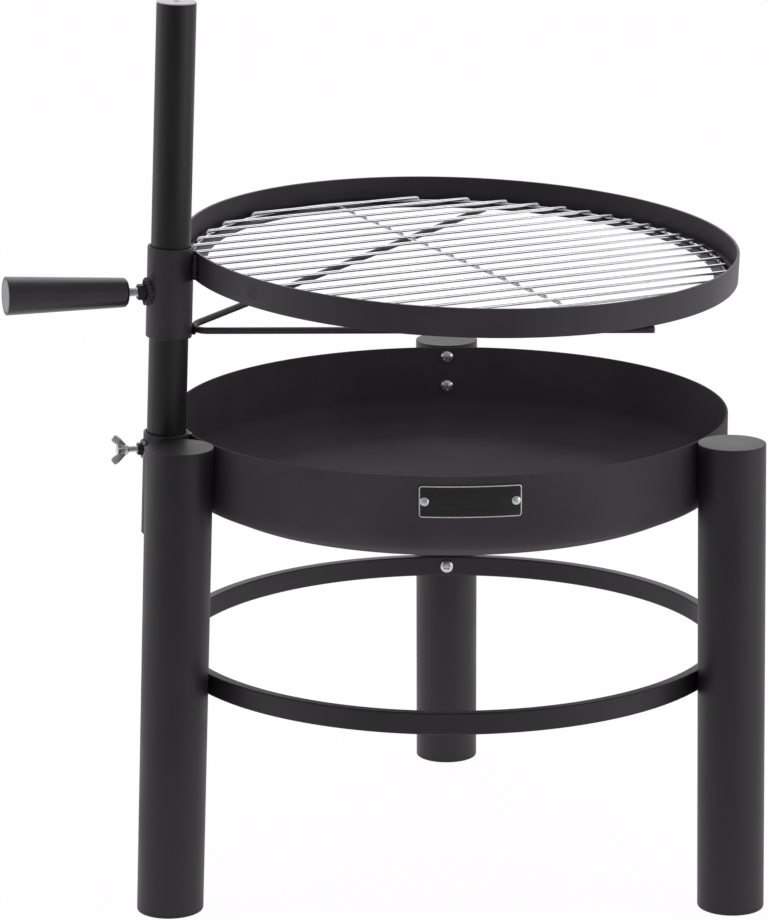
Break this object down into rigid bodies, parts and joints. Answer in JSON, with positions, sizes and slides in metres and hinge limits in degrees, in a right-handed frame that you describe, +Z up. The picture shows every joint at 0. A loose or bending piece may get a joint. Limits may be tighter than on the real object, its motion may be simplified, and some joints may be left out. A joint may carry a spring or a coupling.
{
  "type": "brazier grill",
  "caption": "Round fire bowl on tube legs with a brace ring below, and a round grill that slides and swings on a side post and is clamped by a handle",
  "frame": {"origin": "on the floor, below the middle of the whole object's bounding box", "axes": "+Z up, -Y to the front where the name plate is, +X to the right seen from the front, post and handle on the left"},
  "size_m": [0.6763, 0.5879, 0.8172],
  "materials": {
    "leg_coat": "satin black powder coat on steel tube",
    "bowl_coat": "matt black high-temperature coat on pressed steel sheet",
    "brace_coat": "satin black powder coat on bent rectangular tube",
    "plate_coat": "satin black lacquer on thin sheet, bare of any mark",
    "rivet_aluminium": "bare drawn aluminium",
    "socket_coat": "satin black powder coat on steel tube",
    "post_coat": "semi-gloss black coat on drawn steel tube",
    "cap_grey": "moulded grey plastic",
    "plug_plastic": "moulded black plastic",
    "sleeve_coat": "satin black powder coat on steel tube",
    "grill_coat": "satin black powder coat on rolled steel strip",
    "rod_coat": "satin black powder coat on round bar",
    "weld_steel": "weld bead, rippled",
    "coated_weld": "weld bead under the black coat",
    "zinc_steel": "bright zinc plate",
    "grip_plastic": "polished black moulding",
    "disc_grey": "moulded grey plastic",
    "grate_chrome": "bright chrome-plated wire"
  },
  "bodies": {
    "stand": {"leg_left": "leg_coat", "leg_right": "leg_coat", "leg_back": "leg_coat", "leg_top_plates": "leg_coat", "foot_plugs": "plug_plastic", "leg_nuts": "zinc_steel", "fire_bowl": "bowl_coat", "bowl_screws": "zinc_steel", "brace_ring": "brace_coat", "brace_screws": "zinc_steel", "name_plate": "plate_coat", "plate_rivets": "rivet_aluminium", "post_socket": "socket_coat", "socket_floor": "socket_coat", "socket_welds": "coated_weld", "pinch_nut": "socket_coat", "pinch_nut_weld": "weld_steel"},
    "wing_shank": {"wing_screw_shank": "zinc_steel"},
    "wing_head": {"wing_screw_head": "zinc_steel"},
    "post_foot": {"post_plug": "plug_plastic"},
    "post": {"post_tube": "post_coat", "post_cap": "cap_grey"},
    "grill": {"sleeve": "sleeve_coat", "stud_nut": "sleeve_coat", "stud_nut_weld": "weld_steel", "grill_ring": "grill_coat", "ring_welds": "coated_weld", "support_rod": "rod_coat", "rod_welds": "coated_weld"},
    "stud": {"clamp_stud": "zinc_steel"},
    "handle": {"grip": "grip_plastic", "grip_disc": "disc_grey"},
    "grate": {"grate_bars": "grate_chrome", "grate_rim_wire": "grate_chrome", "grate_cross_wire": "grate_chrome"}
  },
  "joints": [
    {"name": "wing_shank_slide", "type": "slide", "parent": "stand", "child": "wing_shank", "axis": [-0.9556, -0.2926, 0.0341], "range_m": [0, 0.002]},
    {"name": "wing_turn", "type": "hinge", "parent": "wing_shank", "child": "wing_head", "pos_m": [-0.19804, -0.12545, 0.41651], "axis": [-0.9556, -0.2926, 0.0341], "range_deg": [0, 720]},
    {"name": "post_lift", "type": "slide", "parent": "stand", "child": "post_foot", "axis": [0.0402, -0.0146, 0.9991], "range_m": [0, 0.1]},
    {"name": "post_swing", "type": "hinge", "parent": "post_foot", "child": "post", "pos_m": [-0.19743, -0.12567, 0.4316], "axis": [0.0402, -0.0146, 0.9991], "continuous": true},
    {"name": "grill_height", "type": "slide", "parent": "post", "child": "grill", "axis": [0.0402, -0.0146, 0.9991], "range_m": [-0.075, 0.2]},
    {"name": "stud_slide", "type": "slide", "parent": "grill", "child": "stud", "axis": [-0.9556, -0.2926, 0.0341], "range_m": [0, 0.0025]},
    {"name": "handle_turn", "type": "hinge", "parent": "stud", "child": "handle", "pos_m": [-0.19229, -0.12754, 0.55938], "axis": [-0.9556, -0.2926, 0.0341], "range_deg": [0, 720]},
    {"name": "grate_lift", "type": "slide", "parent": "grill", "child": "grate", "axis": [0.0373, -0.0428, 0.9984], "range_m": [0, 0.06]}
  ],
  "couplings": [
    {"joint": "wing_shank_slide", "follows": "wing_turn", "m_per_rad": 0.00015915},
    {"joint": "stud_slide", "follows": "handle_turn", "m_per_rad": 0.00019894}
  ]
}
